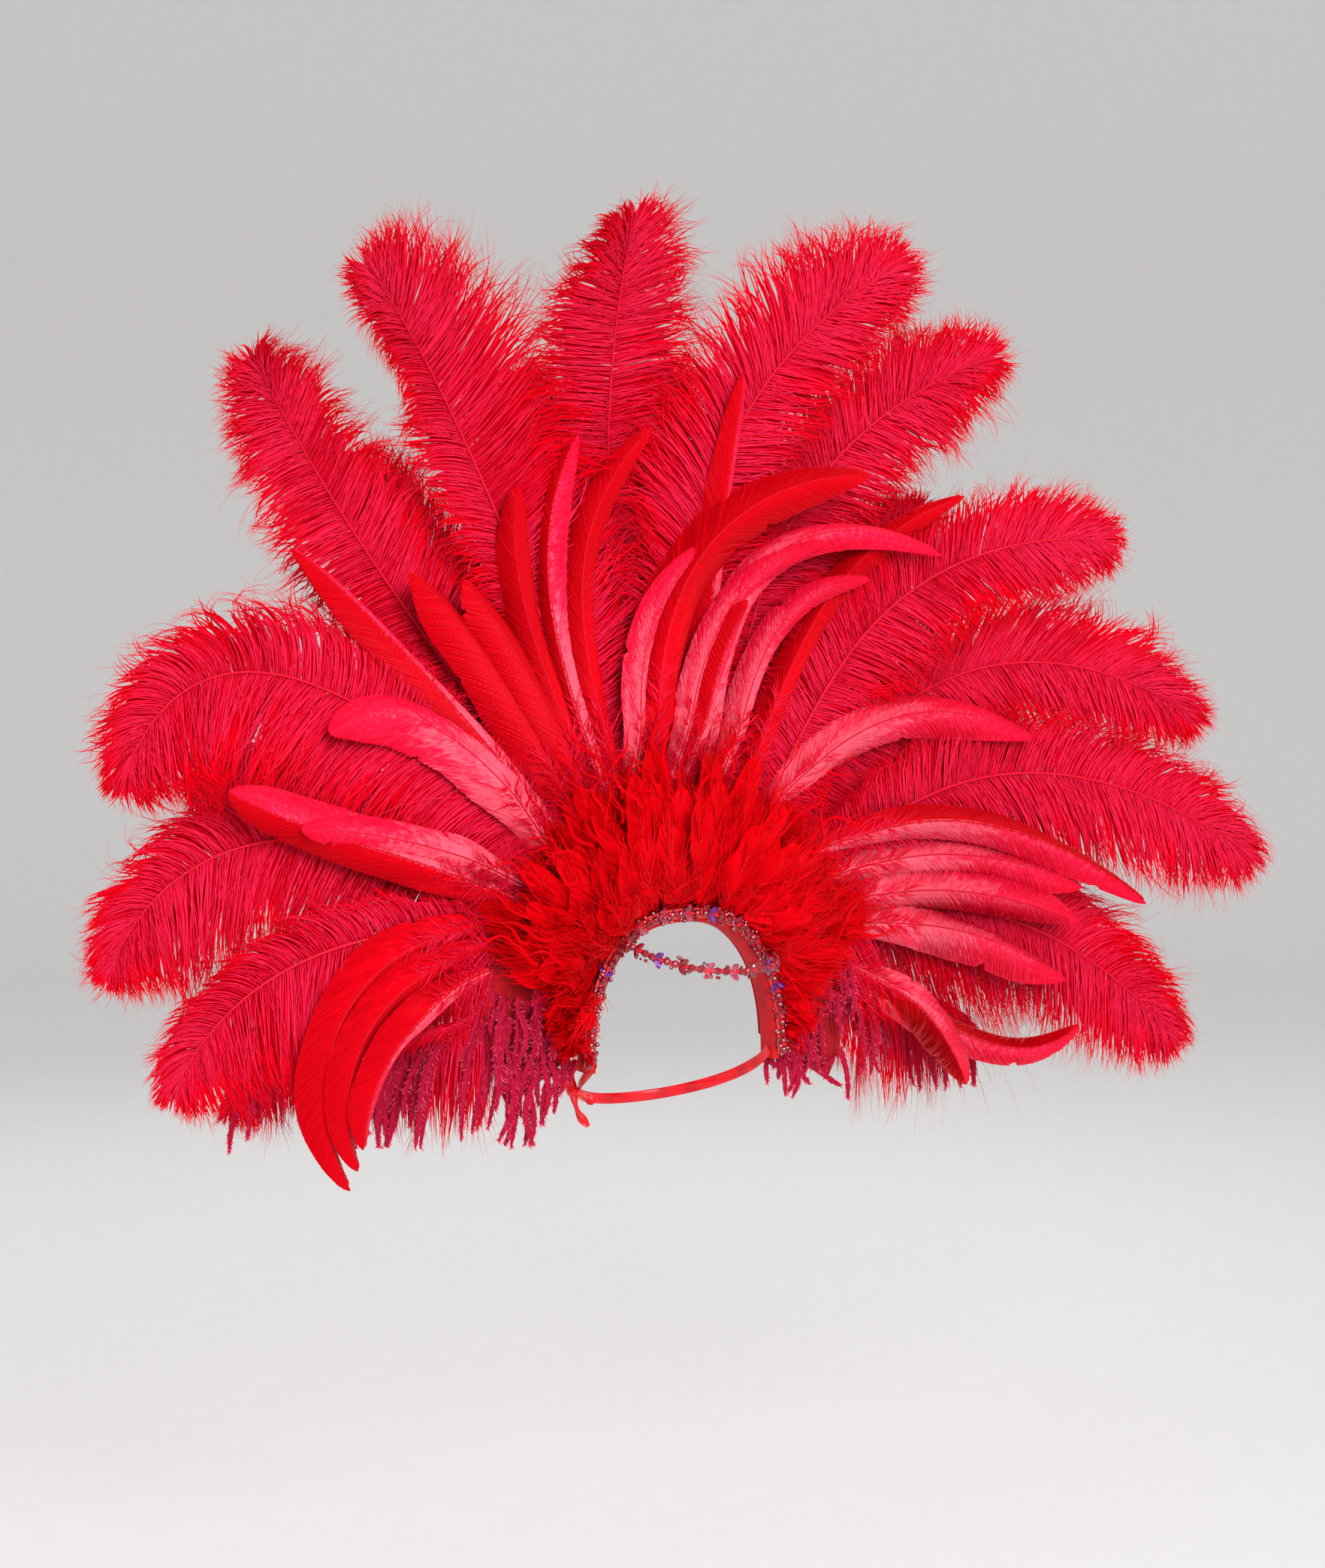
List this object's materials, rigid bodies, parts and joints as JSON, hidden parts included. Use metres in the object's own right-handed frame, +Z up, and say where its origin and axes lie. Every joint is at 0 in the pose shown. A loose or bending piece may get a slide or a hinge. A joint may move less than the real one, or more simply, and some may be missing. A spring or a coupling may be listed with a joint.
{
  "type": "carnival feather headdress",
  "caption": "Fan-shaped feather headdress: ostrich plumes and rooster tail feathers round a padded arch with a marabou collar, bead trims and a tie.",
  "frame": {"origin": "the crown of the head, where the middle of the arch's inner face sits", "axes": "+Z up, the wearer faces -Y, the wearer's left is +X"},
  "size_m": [1.0799, 0.1904, 0.7673],
  "materials": {
    "ostrich_vane": "dyed ostrich plume, soft barbs",
    "coque_vane": "dyed rooster tail feather, glossy",
    "marabou_fluff": "dyed marabou, matt and fluffy",
    "band_velvet": "velvet over padding",
    "backing_felt": "stiffened felt",
    "beads": "rainbow-coated faceted beads",
    "satin": "satin ribbon"
  },
  "bodies": {
    "root": {"head_arch": "band_velvet", "fan_backing": "backing_felt", "ostrich_plume_01": "ostrich_vane", "ostrich_plume_02": "ostrich_vane", "ostrich_plume_03": "ostrich_vane", "ostrich_plume_04": "ostrich_vane", "ostrich_plume_05": "ostrich_vane", "ostrich_plume_06": "ostrich_vane", "ostrich_plume_07": "ostrich_vane", "ostrich_plume_08": "ostrich_vane", "ostrich_plume_09": "ostrich_vane", "ostrich_plume_10": "ostrich_vane", "ostrich_plume_11": "ostrich_vane", "ostrich_plume_12": "ostrich_vane", "under_plume_01": "ostrich_vane", "under_plume_02": "ostrich_vane", "under_plume_03": "ostrich_vane", "under_plume_04": "ostrich_vane", "under_plume_05": "ostrich_vane", "under_plume_06": "ostrich_vane", "under_plume_07": "ostrich_vane", "under_plume_08": "ostrich_vane", "under_plume_09": "ostrich_vane", "under_plume_10": "ostrich_vane", "coque_feather_01": "coque_vane", "coque_feather_02": "coque_vane", "coque_feather_03": "coque_vane", "coque_feather_04": "coque_vane", "coque_feather_05": "coque_vane", "coque_feather_06": "coque_vane", "coque_feather_07": "coque_vane", "coque_feather_08": "coque_vane", "coque_feather_09": "coque_vane", "coque_feather_10": "coque_vane", "coque_feather_11": "coque_vane", "coque_feather_12": "coque_vane", "coque_feather_13": "coque_vane", "coque_feather_14": "coque_vane", "coque_feather_15": "coque_vane", "coque_feather_16": "coque_vane", "coque_feather_17": "coque_vane", "coque_feather_18": "coque_vane", "coque_feather_19": "coque_vane", "coque_feather_20": "coque_vane", "coque_feather_21": "coque_vane", "coque_feather_22": "coque_vane", "coque_feather_23": "coque_vane", "coque_feather_24": "coque_vane", "coque_feather_25": "coque_vane", "coque_feather_26": "coque_vane", "coque_feather_27": "coque_vane", "marabou_collar": "marabou_fluff", "arch_bead_trim": "beads", "forehead_bead_strand": "beads", "tie_strap": "satin", "tie_knot": "satin", "tie_loop": "satin", "tie_tail": "satin"}
  },
  "joints": []
}
